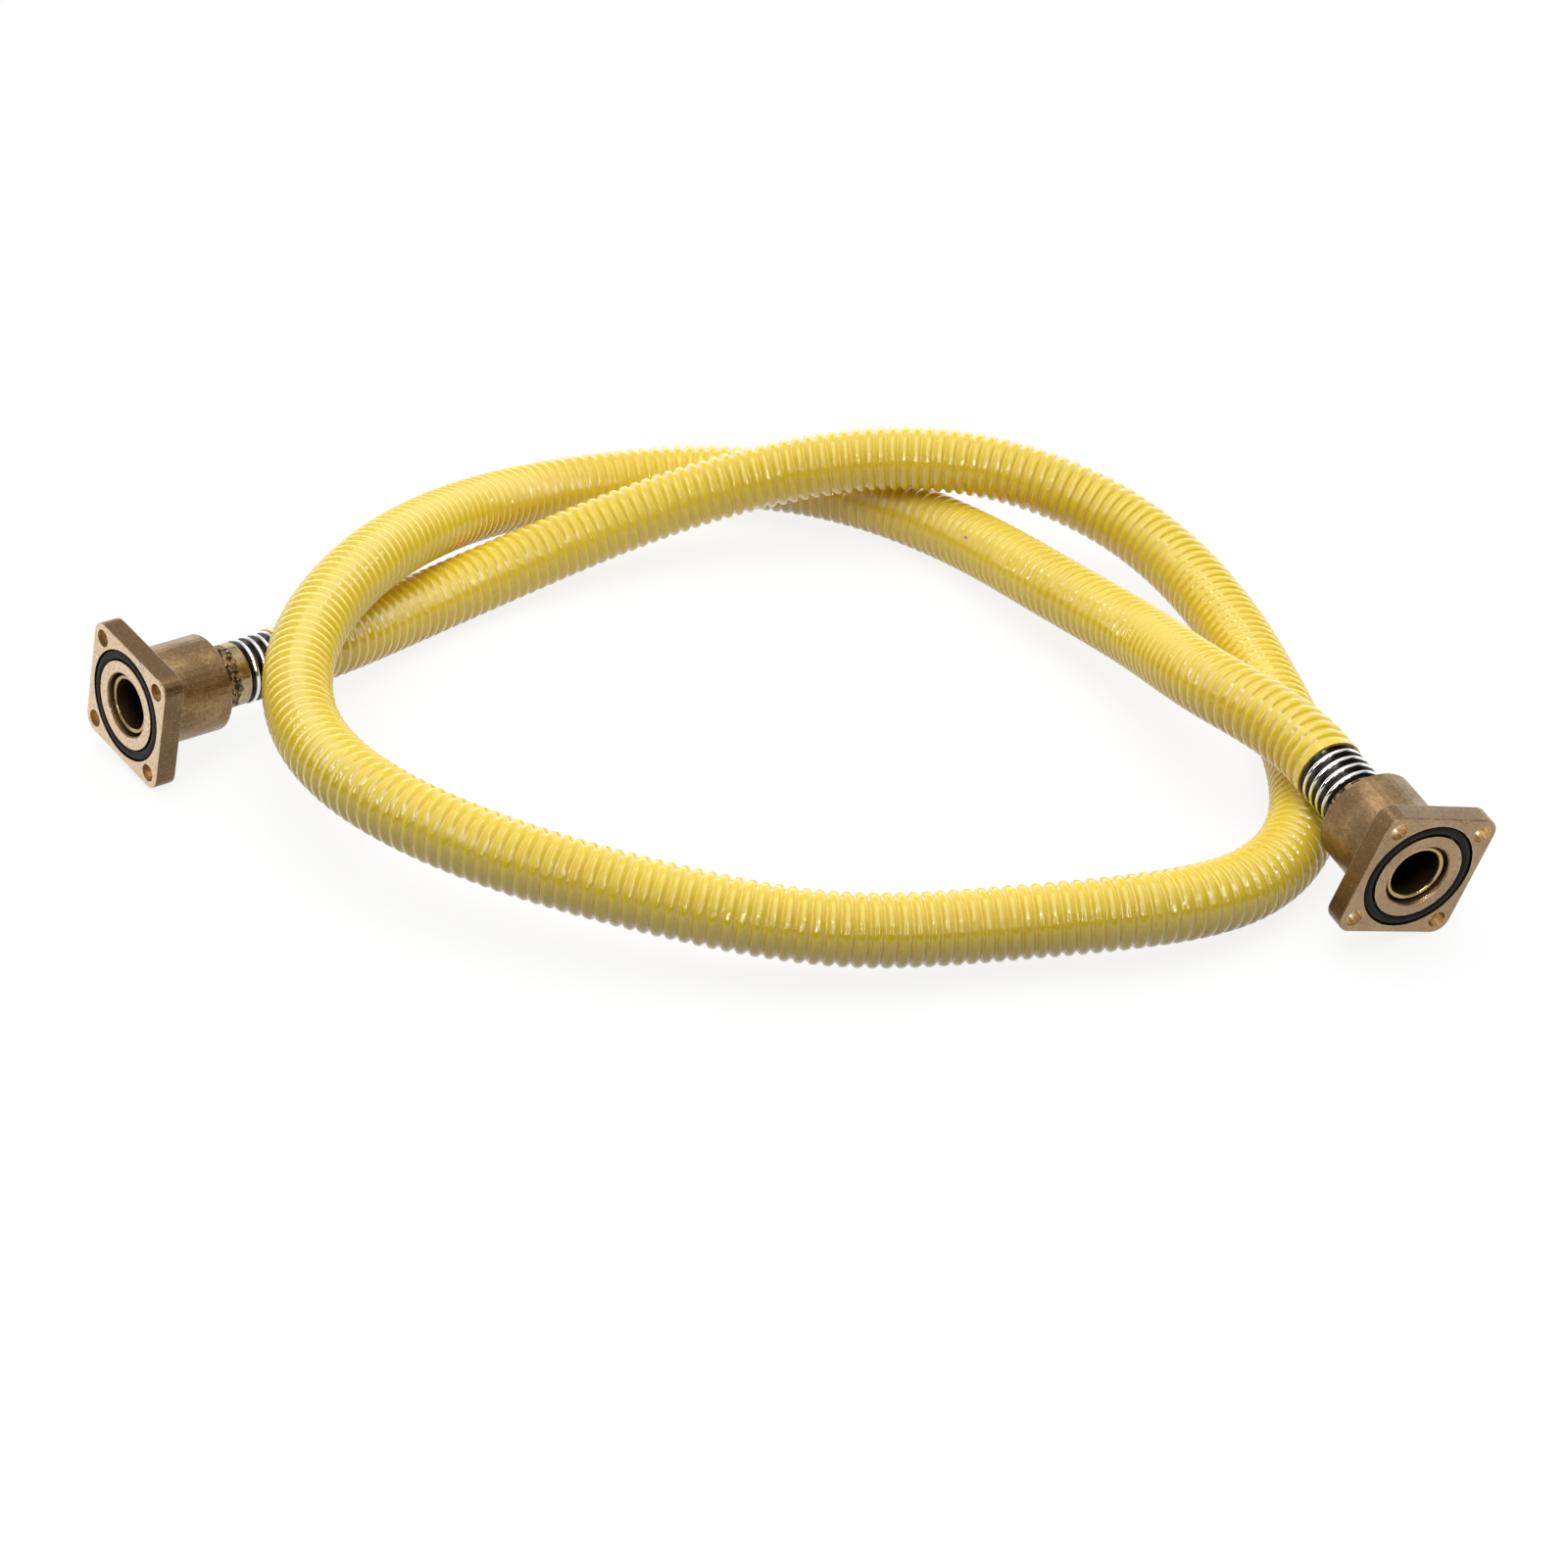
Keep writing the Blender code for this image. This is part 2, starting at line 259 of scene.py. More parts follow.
class FittingSettings(bpy.types.PropertyGroup):
    hole_spacing: bpy.props.FloatProperty(
        name="Hole spacing",
        description="Distance between neighbouring holes",
        default=38.2 * MM,
        unit="LENGTH",
    )
    hole_radius: bpy.props.FloatProperty(
        name="Hole radius",
        description="Radius of the four plain holes",
        default=3.5 * MM,
        unit="LENGTH",
    )
    bronze_color: bpy.props.FloatVectorProperty(
        name="Bronze colour",
        description="Tan brown of the castings",
        default=(0.315, 0.205, 0.095),
        subtype="COLOR",
    )
    brass_color: bpy.props.FloatVectorProperty(
        name="Brass colour",
        description="Polished brass of the ferrules",
        default=(0.47, 0.37, 0.20),
        subtype="COLOR",
    )


class StudioSettings(bpy.types.PropertyGroup):
    camera_elevation: bpy.props.FloatProperty(
        name="Camera elevation",
        description="Angle of the view above the floor",
        default=math.radians(31.0),
        subtype="ANGLE",
    )
    camera_distance: bpy.props.FloatProperty(
        name="Camera distance",
        description="From the point looked at",
        default=1.480,
        unit="LENGTH",
    )
    lens: bpy.props.FloatProperty(name="Lens", description="Focal length in millimetres", default=88.54)
    ceiling_power: bpy.props.FloatProperty(
        name="Ceiling power",
        description="Power of the wide light overhead",
        default=80.0,
        subtype="POWER",
    )
    box_power: bpy.props.FloatProperty(
        name="Long light power",
        description="Power of the long narrow light overhead",
        default=24.0,
        subtype="POWER",
    )
    fill: bpy.props.FloatProperty(
        name="Room light",
        description="Brightness of the room round the stage",
        default=0.05,
    )
    sweep: bpy.props.FloatProperty(
        name="Sweep light",
        description="Brightness of the white sweep behind",
        default=1.6,
    )
    strip_power: bpy.props.FloatProperty(
        name="Strip power",
        description="Power of each narrow light beside the camera",
        default=9.0,
        subtype="POWER",
    )


# Shader building.


def join(tree, source, target):
    tree.links.new(source, target)


def put(tree, value, socket):
    """Set a socket to a number or a colour, or join an output to it."""
    if isinstance(value, (int, float)):
        socket.default_value = value
    elif isinstance(value, tuple):
        socket.default_value = (*value, 1.0)
    else:
        join(tree, value, socket)


def new_group(name, inputs, outputs):
    tree = bpy.data.node_groups.new(name, "ShaderNodeTree")
    for label, kind, default in inputs:
        socket = tree.interface.new_socket(name=label, in_out="INPUT", socket_type=kind)
        if default is not None:
            socket.default_value = default
    for label, kind in outputs:
        tree.interface.new_socket(name=label, in_out="OUTPUT", socket_type=kind)
    return tree, tree.nodes.new("NodeGroupInput"), tree.nodes.new("NodeGroupOutput")


def math_node(tree, operation, first, second=None, clamp=False):
    node = tree.nodes.new("ShaderNodeMath")
    node.operation = operation
    node.use_clamp = clamp
    for index, value in enumerate((first, second)):
        if value is not None:
            put(tree, value, node.inputs[index])
    return node.outputs[0]


def plus(tree, first, second):
    return math_node(tree, "ADD", first, second)


def minus(tree, first, second):
    return math_node(tree, "SUBTRACT", first, second)


def times(tree, first, second):
    return math_node(tree, "MULTIPLY", first, second)


def length_of(tree, x, y):
    """The length of the flat vector (x, y)."""
    return math_node(tree, "SQRT", plus(tree, times(tree, x, x), times(tree, y, y)))


def smooth_step(tree, value, low, high):
    """0 up to low, 1 from high on, and a smooth rise between."""
    node = tree.nodes.new("ShaderNodeMapRange")
    node.interpolation_type = "SMOOTHSTEP"
    node.inputs["From Min"].default_value = low
    node.inputs["From Max"].default_value = high
    join(tree, value, node.inputs["Value"])
    return node.outputs["Result"]


def noise_node(tree, vector, scale, detail=2.0, roughness=0.5):
    """Soft noise; the scale is a number or a group's input."""
    node = tree.nodes.new("ShaderNodeTexNoise")
    node.inputs["Detail"].default_value = detail
    node.inputs["Roughness"].default_value = roughness
    put(tree, scale, node.inputs["Scale"])
    join(tree, vector, node.inputs["Vector"])
    return node.outputs["Fac"]


def mix_color(tree, factor, first, second):
    node = tree.nodes.new("ShaderNodeMix")
    node.data_type = "RGBA"
    for index, value in ((0, factor), (6, first), (7, second)):
        put(tree, value, node.inputs[index])
    return node.outputs[2]


def mix_shader(tree, factor, first, second):
    node = tree.nodes.new("ShaderNodeMixShader")
    for index, value in enumerate((factor, first, second)):
        put(tree, value, node.inputs[index])
    return node.outputs[0]


def tint(tree, color, mask, strength, other):
    """The colour, moved towards another where the mask is and by the strength."""
    return mix_color(tree, times(tree, mask, strength), color, other)


def toned(color, factors):
    """A colour times one factor for each channel, no channel over 1."""
    return tuple(min(1.0, channel * factor) for channel, factor in zip(color, factors))


def object_point(tree, about=None):
    """Texture coordinates in the piece's own frame, or in that of another object."""
    node = tree.nodes.new("ShaderNodeTexCoord")
    node.object = about
    return node.outputs["Object"]


def parts_of(tree, vector):
    """The x, y and z of a vector."""
    node = tree.nodes.new("ShaderNodeSeparateXYZ")
    join(tree, vector, node.inputs["Vector"])
    return node.outputs


def shared_group(name, build, inputs, outputs):
    """The node group of this name, built the first time that it is asked for."""
    if name in bpy.data.node_groups:
        return bpy.data.node_groups[name]
    tree, given, out = new_group(name, [("Vector", "NodeSocketVector", None), *inputs], outputs)
    build(tree, given.outputs, out.inputs)
    return tree


def speck_group():
    """Sparse small specks: a mask that is 1 in a speck, from a point, a scale and a share of cells."""

    def build(tree, given, out):
        cells = tree.nodes.new("ShaderNodeTexVoronoi")
        join(tree, given["Vector"], cells.inputs["Vector"])
        join(tree, given["Scale"], cells.inputs["Scale"])
        chosen = tree.nodes.new("ShaderNodeSeparateColor")
        join(tree, cells.outputs["Color"], chosen.inputs["Color"])
        picked = math_node(tree, "LESS_THAN", chosen.outputs["Red"], given["Share"])
        size = times(tree, chosen.outputs["Green"], given["Size"])
        inside = math_node(tree, "LESS_THAN", cells.outputs["Distance"], size)
        join(tree, times(tree, picked, inside), out["Mask"])

    inputs = [
        ("Scale", "NodeSocketFloat", 100.0),
        ("Share", "NodeSocketFloat", 0.1),
        ("Size", "NodeSocketFloat", 0.2),
    ]
    return shared_group("sparse specks", build, inputs, [("Mask", "NodeSocketFloat")])


def grain_group():
    """Cast or machined grain: a height and a slow colour mask."""

    def build(tree, given, out):
        join(tree, noise_node(tree, given["Vector"], given["Grain Scale"], 3.0, 0.6), out["Height"])
        cloud = noise_node(tree, given["Vector"], given["Cloud Scale"], 5.0, 0.62)
        join(tree, smooth_step(tree, cloud, 0.36, 0.66), out["Cloud"])

    inputs = [("Grain Scale", "NodeSocketFloat", 1400.0), ("Cloud Scale", "NodeSocketFloat", 90.0)]
    outputs = [("Height", "NodeSocketFloat"), ("Cloud", "NodeSocketFloat")]
    return shared_group("metal grain", build, inputs, outputs)


def wear_group():
    """Edge wear: 1 on sharp outside edges, broken up by noise."""

    def build(tree, given, out):
        bevel = tree.nodes.new("ShaderNodeBevel")
        bevel.samples = 6
        join(tree, given["Radius"], bevel.inputs["Radius"])
        plain = tree.nodes.new("ShaderNodeNewGeometry")
        dot = tree.nodes.new("ShaderNodeVectorMath")
        dot.operation = "DOT_PRODUCT"
        join(tree, bevel.outputs["Normal"], dot.inputs[0])
        join(tree, plain.outputs["Normal"], dot.inputs[1])
        edge = smooth_step(tree, minus(tree, 1.0, dot.outputs["Value"]), 0.02, 0.14)
        kept = smooth_step(tree, noise_node(tree, given["Vector"], given["Break Scale"], 3.0), 0.36, 0.6)
        join(tree, times(tree, edge, kept), out["Mask"])

    inputs = [("Radius", "NodeSocketFloat", 0.4 * MM), ("Break Scale", "NodeSocketFloat", 300.0)]
    return shared_group("edge wear", build, inputs, [("Mask", "NodeSocketFloat")])


def scratch_group():
    """Fine scratches along one direction: a mask that is 1 in a scratch."""

    def build(tree, given, out):
        turn = tree.nodes.new("ShaderNodeMapping")
        join(tree, given["Vector"], turn.inputs["Vector"])
        join(tree, given["Turn"], turn.inputs["Rotation"])
        stretch = tree.nodes.new("ShaderNodeMapping")
        stretch.inputs["Scale"].default_value = (1.0, 22.0, 1.6)
        join(tree, turn.outputs["Vector"], stretch.inputs["Vector"])
        lines = noise_node(tree, stretch.outputs["Vector"], given["Scale"])
        join(tree, smooth_step(tree, lines, 0.66, 0.72), out["Mask"])

    inputs = [("Turn", "NodeSocketVector", (0.0, 0.0, 0.0)), ("Scale", "NodeSocketFloat", 90.0)]
    return shared_group("fine scratches", build, inputs, [("Mask", "NodeSocketFloat")])


def use_group(tree, group, vector, **values):
    node = tree.nodes.new("ShaderNodeGroup")
    node.node_tree = group
    join(tree, vector, node.inputs["Vector"])
    for key, value in values.items():
        node.inputs[key.replace("_", " ")].default_value = value
    return node.outputs


def new_material(name, metallic, **constants):
    """A material with its Principled shader; constants are set on the shader's own sockets."""
    mat = bpy.data.materials.new(name)
    mat.use_nodes = True
    shader = mat.node_tree.nodes["Principled BSDF"]
    shader.inputs["Metallic"].default_value = metallic
    for key, value in constants.items():
        shader.inputs[key.replace("_", " ")].default_value = value
    return mat, mat.node_tree, shader


def set_surface(tree, shader, color, rough, height, strength, distance):
    """Join a colour, a roughness and a bump height to the shader."""
    join(tree, color, shader.inputs["Base Color"])
    join(tree, rough, shader.inputs["Roughness"])
    bump = tree.nodes.new("ShaderNodeBump")
    bump.inputs["Strength"].default_value = strength
    bump.inputs["Distance"].default_value = distance
    join(tree, height, bump.inputs["Height"])
    join(tree, bump.outputs["Normal"], shader.inputs["Normal"])


def cover_material(settings):
    """Glossy yellow plastic, browner in the valleys as painted shade, with pale rims as painted highlight
    lines beside the valleys, faint rings, specks and scuffs.
    """
    mat, tree, shader = new_material("yellow_cover", 0.0, IOR=1.5, Coat_Weight=0.5, Coat_Roughness=0.04)
    along = tree.nodes.new("ShaderNodeUVMap")
    along.uv_map = "along"
    place = parts_of(tree, along.outputs["UV"])["Y"]
    from_crest = math_node(tree, "ABSOLUTE", minus(tree, math_node(tree, "FRACT", place), 0.5))
    point = object_point(tree)
    base = tuple(settings.cover_color)
    cloud = smooth_step(tree, noise_node(tree, point, 22.0, 3.0), 0.35, 0.68)
    color = tint(tree, base, cloud, 0.4, toned(base, DEEPER_YELLOW))
    # Painted shade: the valleys are tinted browner.
    color = tint(tree, color, smooth_step(tree, from_crest, 0.33, 0.5), 0.35, toned(base, VALLEY_PAINTED_SHADE))
    # Painted highlight: a pale line on each flank close to the valley.
    rim_highlight = minus(tree, smooth_step(tree, from_crest, 0.38, 0.43), smooth_step(tree, from_crest, 0.46, 0.49))
    color = tint(tree, color, rim_highlight, 0.30, PAINTED_RIM_HIGHLIGHT)
    specks = use_group(tree, speck_group(), point, Scale=95.0, Share=0.05, Size=0.10)
    color = tint(tree, color, specks["Mask"], 0.75, SPECK_BROWN)
    scuff = smooth_step(tree, noise_node(tree, point, 160.0, 4.0, 0.65), 0.45, 0.75)
    rough = plus(tree, times(tree, scuff, 0.07), 0.06)
    rings = math_node(tree, "SINE", times(tree, place, 2 * math.pi * RINGS_PER_RIDGE))
    rings = times(tree, rings, plus(tree, times(tree, scuff, 0.5), 0.5))
    height = plus(tree, rings, times(tree, noise_node(tree, point, 260.0), 0.2))
    set_surface(tree, shader, color, rough, height, 1.0, 0.07 * MM)
    return mat


def bronze_material(name, settings, about, face_painted_light):
    """Cast bronze, its zones told apart in the fitting's own frame: face, sides, holes, bore and lip."""
    mat, tree, shader = new_material(name, 0.85)
    point = object_point(tree, about)
    x, y, z = parts_of(tree, point)
    radius = length_of(tree, x, y)
    depth = times(tree, z, -1.0)
    half = settings.hole_spacing / 2
    across, along = (minus(tree, math_node(tree, "ABSOLUTE", side), half) for side in (x, y))
    wall = settings.hole_radius
    in_hole = minus(
        tree, 1.0, smooth_step(tree, length_of(tree, across, along), wall + 0.02 * MM, wall + 0.10 * MM)
    )
    inside = minus(
        tree, 1.0, smooth_step(tree, radius, COUNTERBORE_RADIUS - 0.1 * MM, COUNTERBORE_RADIUS + 0.1 * MM)
    )
    deep = times(tree, inside, smooth_step(tree, depth, 0.8 * MM, 11.0 * MM))
    on_lip = times(
        tree, math_node(tree, "LESS_THAN", radius, LIP_RADIUS), math_node(tree, "LESS_THAN", depth, LIP_DEPTH)
    )
    on_face = math_node(tree, "LESS_THAN", depth, 0.15 * MM)
    on_side = times(tree, math_node(tree, "GREATER_THAN", radius, HUB_CORNER_RADIUS - 0.2 * MM),
                    minus(tree, 1.0, on_face))

    grain = use_group(tree, grain_group(), point, Grain_Scale=1500.0, Cloud_Scale=48.0)
    base = tuple(settings.bronze_color)
    dark, light = toned(base, BRONZE_DARK), toned(base, BRONZE_LIGHT)
    stain = times(tree, grain["Cloud"], minus(tree, 0.80, times(tree, on_face, 0.30)))
    color = mix_color(tree, stain, base, dark)
    # The machined face is paler than the casting; how much paler differs by side as painted light: the
    # inlet's face painted lit, the outlet's painted shaded.
    color = tint(tree, color, on_face, face_painted_light, toned(base, BRONZE_MACHINED))
    color = tint(tree, color, on_side, 0.75, dark)
    color = tint(tree, color, smooth_step(tree, grain["Height"], 0.50, 0.70), 0.28, light)
    dust = smooth_step(tree, noise_node(tree, point, 650.0, 6.0, 0.85), 0.47, 0.60)
    color = mix_color(tree, times(tree, dust, minus(tree, 0.62, times(tree, on_face, 0.25))), color, dark)
    # Darker in the corner where the hub meets the back of the plate, broken up by noise.
    off_corner = math_node(tree, "ABSOLUTE", minus(tree, radius, HUB_CORNER_RADIUS))
    corner = minus(tree, 1.0, smooth_step(tree, off_corner, 0.3 * MM, 1.8 * MM))
    behind_plate = minus(
        tree,
        smooth_step(tree, depth, PLATE_BACK - 1.3 * MM, PLATE_BACK - 0.1 * MM),
        smooth_step(tree, depth, PLATE_BACK + 0.6 * MM, PLATE_BACK + 3.3 * MM),
    )
    corner = times(tree, times(tree, corner, behind_plate),
                   smooth_step(tree, noise_node(tree, point, 240.0, 4.0), 0.42, 0.60))
    color = tint(tree, color, corner, 0.85, CORNER_DARKENING)
    pits = use_group(tree, speck_group(), point, Scale=330.0, Share=0.05, Size=0.14)["Mask"]
    color = tint(tree, color, pits, 0.85, PIT_BLACK)
    scratches = use_group(tree, scratch_group(), point, Turn=(0.3, 0.5, 0.7), Scale=60.0)["Mask"]
    color = tint(tree, color, scratches, 0.45, dark)
    wear = use_group(tree, wear_group(), point, Radius=0.45 * MM, Break_Scale=260.0)["Mask"]
    color = tint(tree, color, wear, 0.8, WORN_EDGE)
    stripes = smooth_step(tree, noise_node(tree, point, 160.0, 1.0), 0.35, 0.65)
    color = mix_color(tree, in_hole, color, mix_color(tree, stripes, HOLE_WALL_DARK, HOLE_WALL_LIGHT))
    color = tint(tree, color, deep, 0.95, BORE_SHADE)
    color = tint(tree, color, on_lip, 0.9, LIP_BRASS)

    smooth = math_node(tree, "MAXIMUM", math_node(tree, "MAXIMUM", in_hole, on_lip), wear)
    rough = minus(tree, plus(tree, times(tree, grain["Cloud"], 0.12), 0.28), times(tree, smooth, 0.16))
    height = minus(tree, minus(tree, grain["Height"], pits), times(tree, scratches, 0.3))
    set_surface(tree, shader, color, rough, height, 0.4, 0.12 * MM)
    return mat


def ferrule_material(settings):
    """Turned brass, and rough braze scale with bright bare specks over the band next to the hub."""
    mat, tree, shader = new_material("brazed_brass", 0.95)
    point = object_point(tree)
    wander = times(tree, minus(tree, noise_node(tree, point, 210.0, 3.0), 0.5), 6 * MM)
    reach = plus(tree, parts_of(tree, point)["Z"], wander)
    braze = smooth_step(tree, reach, -HUB_END - 8.8 * MM, -HUB_END - 8.0 * MM)
    grain = use_group(tree, grain_group(), point, Grain_Scale=1800.0, Cloud_Scale=150.0)
    base = tuple(settings.brass_color)
    plain = tint(tree, base, grain["Cloud"], 0.6, toned(base, BRASS_DARK))
    patch = smooth_step(tree, noise_node(tree, point, 480.0, 5.0, 0.7), 0.44, 0.60)
    bare = use_group(tree, speck_group(), point, Scale=950.0, Share=0.22, Size=0.40)["Mask"]
    scale = mix_color(tree, bare, mix_color(tree, patch, BRAZE_DARK, BRAZE_BROWN), BARE_BRASS)
    color = mix_color(tree, braze, plain, scale)
    rough = plus(tree, times(tree, grain["Cloud"], 0.14), 0.16)
    rough = plus(tree, rough, times(tree, braze, 0.36))
    rough = math_node(tree, "SUBTRACT", rough, times(tree, bare, 0.2), clamp=True)
    lumps = times(tree, noise_node(tree, point, 850.0, 4.0, 0.65), plus(tree, braze, 0.04))
    set_surface(tree, shader, color, rough, lumps, 0.8, 0.35 * MM)
    return mat


def steel_material(settings):
    """Bright stainless steel, polished on the crests, with the valleys coloured nearly black as painted shade
    and painted dark reflections.
    """
    mat, tree, shader = new_material("bright_steel", 1.0)
    point = object_point(tree)
    x, y, _ = parts_of(tree, point)
    crest = smooth_step(
        tree, length_of(tree, x, y), settings.steel_crest - 0.65 * MM, settings.steel_crest - 0.20 * MM
    )
    cloud = noise_node(tree, point, 260.0, 3.0)
    # Painted shade and dark reflections: the valleys are coloured nearly black, mottled by noise.
    valley_shade = mix_color(tree, smooth_step(tree, cloud, 0.4, 0.7), STEEL_VALLEY_SHADE, STEEL_VALLEY_SHADE_DARK)
    color = mix_color(tree, crest, valley_shade, STEEL_BRIGHT)
    rough = minus(tree, plus(tree, times(tree, cloud, 0.10), 0.16), times(tree, crest, 0.1))
    set_surface(tree, shader, color, rough, cloud, 0.05, 0.05 * MM)
    return mat


def rubber_material():
    """Black rubber with a soft sheen and a trace of dust."""
    mat, tree, shader = new_material("seal_rubber", 0.0, Specular_IOR_Level=0.12)
    point = object_point(tree)
    dust = smooth_step(tree, noise_node(tree, point, 500.0, 4.0, 0.65), 0.55, 0.8)
    color = tint(tree, RUBBER_BLACK, dust, 0.4, RUBBER_DUST)
    rough = plus(tree, times(tree, dust, 0.25), 0.36)
    set_surface(tree, shader, color, rough, noise_node(tree, point, 1200.0, 3.0), 0.15, 0.05 * MM)
    return mat


# Shapes.


def mesh_from(name, bm, sharp_degrees=35):
    mesh = bpy.data.meshes.new(name)
    bm.to_mesh(mesh)
    bm.free()
    mesh.shade_smooth()
    mesh.set_sharp_from_angle(angle=math.radians(sharp_degrees))
    return mesh


def turned(name, outline, steps, sharp_degrees=35):
    """A closed outline of (radius, height) points turned about Z."""
    bm = bmesh.new()
    verts = [bm.verts.new((radius, 0.0, height)) for radius, height in outline]
    edges = [bm.edges.new((verts[i - 1], verts[i])) for i in range(len(verts))]
    bmesh.ops.spin(
        bm, geom=verts + edges, axis=(0, 0, 1), cent=(0, 0, 0), angle=2 * math.pi, steps=steps, use_merge=True
    )
    bmesh.ops.remove_doubles(bm, verts=bm.verts, dist=1e-6)
    bmesh.ops.recalc_face_normals(bm, faces=bm.faces)
    return mesh_from(name, bm, sharp_degrees)


def show(name, mesh, mats, matrix=None):
    obj = bpy.data.objects.new(name, mesh)
    for mat in mats:
        mesh.materials.append(mat)
    if matrix is not None:
        obj.matrix_world = matrix
    bpy.context.scene.collection.objects.link(obj)
    return obj


def smooth_line(points, first_direction, last_direction, parts):
    """A cubic spline through the points, clamped at its ends, with this many parts to a span."""
    knots = np.array(points)
    chords = np.linalg.norm(np.diff(knots, axis=0), axis=1)
    count = len(knots)
    system = np.zeros((count, count))
    right = np.zeros((count, 3))
    system[0, 0] = 1.0
    system[-1, -1] = 1.0
    right[0] = first_direction
    right[-1] = last_direction
    for i in range(1, count - 1):
        before, after = chords[i - 1], chords[i]
        system[i, i - 1] = after
        system[i, i] = 2 * (before + after)
        system[i, i + 1] = before
        slope_before = (knots[i] - knots[i - 1]) / before
        slope_after = (knots[i + 1] - knots[i]) / after
        right[i] = 3 * (after * slope_before + before * slope_after)
    slopes = np.linalg.solve(system, right)
    fine = [knots[0]]
    for i, chord in enumerate(chords):
        for t in np.linspace(0, 1, parts + 1)[1:]:
            fine.append(
                (2 * t**3 - 3 * t**2 + 1) * knots[i]
                + (t**3 - 2 * t**2 + t) * chord * slopes[i]
                + (3 * t**2 - 2 * t**3) * knots[i + 1]
                + (t**3 - t**2) * chord * slopes[i + 1]
            )
    return np.array(fine)


def centre_line():
    """The covered hose's centre line, from the inlet's bare end to the outlet's."""
    inlet, outlet = fitting_matrix("inlet"), fitting_matrix("outlet")
    end_face = Vector((0.0, 0.0, -BARE_END - GAP))
    bend_start = end_face - Vector((0.0, 0.0, COVER_STRAIGHT_END))
    outlet_face = end_face + Vector((0.0, 0.0, COVER_REACH["outlet"]))
    leaving = inlet.to_3x3() @ Vector((0.0, 0.0, -1.0))
    arriving = outlet.to_3x3() @ Vector((0.0, 0.0, 1.0))
    through = [inlet @ bend_start, *ROUTE, outlet @ bend_start]
    bent = smooth_line(through, leaving, arriving, SPAN_PARTS)
    return np.array([inlet @ end_face, *bent, outlet @ outlet_face])


def at_distances(line, wanted):
    along = np.concatenate([[0.0], np.cumsum(np.linalg.norm(np.diff(line, axis=0), axis=1))])
    return np.stack([np.interp(wanted, along, line[:, k]) for k in range(3)], axis=1), along[-1]


def carried_frames(points):
    """Two cross directions at each point, carried along the line without twist."""
    tangents = np.gradient(points, axis=0)
    tangents /= np.linalg.norm(tangents, axis=1)[:, None]
    side = np.cross(tangents[0], (0.0, 0.0, 1.0))
    sides = []
    for tangent in tangents:
        side = side - tangent * np.dot(side, tangent)
        side /= np.linalg.norm(side)
        sides.append(side)
    sides = np.array(sides)
    return sides, np.cross(sides, tangents)


def ridged_cover_mesh(settings, line):
    """A tube with a ridge at every pitch of the hose, and an open rounded lip at each end."""
    _, length = at_distances(line, [0.0])
    count = round(length / settings.pitch)
    pitch = length / count
    places = []
    depths = []
    for ridge in range(count):
        for phase, depth in zip(RIDGE_PHASES, RIDGE_DEPTHS):
            places.append((ridge + phase) * pitch)
            depths.append(depth)
    places.append(length)
    depths.append(1.0)
    places, depths = np.array(places), np.array(depths)
    points, _ = at_distances(line, places)
    sides, ups = carried_frames(points)
    radii = settings.cover_radius - settings.valley_depth * depths
    near_end = np.minimum(places, length - places) < pitch * 0.45
    radii[near_end] = settings.cover_radius - COVER_LIP_DROP
    bm = bmesh.new()
    uv_layer = bm.loops.layers.uv.new("along")
    angles = [2 * math.pi * k / COVER_STEPS for k in range(COVER_STEPS)]

    def ring(centre, side, up, radius):
        return [bm.verts.new(centre + radius * (math.cos(a) * side + math.sin(a) * up)) for a in angles]

    rings = []
    values = []
    inner = settings.cover_radius - COVER_WALL
    rings.append(ring(points[0] + (points[1] - points[0]) * 2, sides[0], ups[0], inner - COVER_LIP_TUCK))
    rings.append(ring(points[0], sides[0], ups[0], inner))
    values += [0.0, 0.0]
    for point, side, up, radius, place in zip(points, sides, ups, radii, places):
        rings.append(ring(point, side, up, radius))
        values.append(place / pitch)
    rings.append(ring(points[-1], sides[-1], ups[-1], inner))
    rings.append(ring(points[-1] - (points[-1] - points[-2]) * 2, sides[-1], ups[-1], inner - COVER_LIP_TUCK))
    values += [float(count), float(count)]
    for k in range(len(rings) - 1):
        for j in range(COVER_STEPS):
            after = (j + 1) % COVER_STEPS
            face = bm.faces.new((rings[k][j], rings[k][after], rings[k + 1][after], rings[k + 1][j]))
            corners = ((j, k), (j + 1, k), (j + 1, k + 1), (j, k + 1))
            for loop, (around, row) in zip(face.loops, corners):
                loop[uv_layer].uv = (around / COVER_STEPS, values[row])
    bmesh.ops.recalc_face_normals(bm, faces=bm.faces)
    return mesh_from("ridged_cover", bm, sharp_degrees=60), length


def steel_end_mesh(settings, side):
    """The bare steel corrugations between ferrule and cover, with round crests and a bore."""
    start = -FERRULE_END - GAP + STEEL_REACH[side]
    end = -BARE_END - STEEL_IN_COVER + COVER_REACH[side]
    bore = settings.steel_valley - STEEL_WALL
    wave_height = settings.steel_crest - settings.steel_valley
    count = round((start - end) / STEEL_PITCH * STEEL_SAMPLES)
    outline = [(bore, start)]
    for step in range(count + 1):
        height = start + (end - start) * step / count
        wave = math.cos(2 * math.pi * (start - height) / STEEL_PITCH)
        rise = (0.5 - 0.5 * wave) ** STEEL_ROUNDNESS
        outline.append((settings.steel_valley + wave_height * rise, height))
    outline.append((bore, end))
    return turned("steel_end", outline, steps=96, sharp_degrees=50)


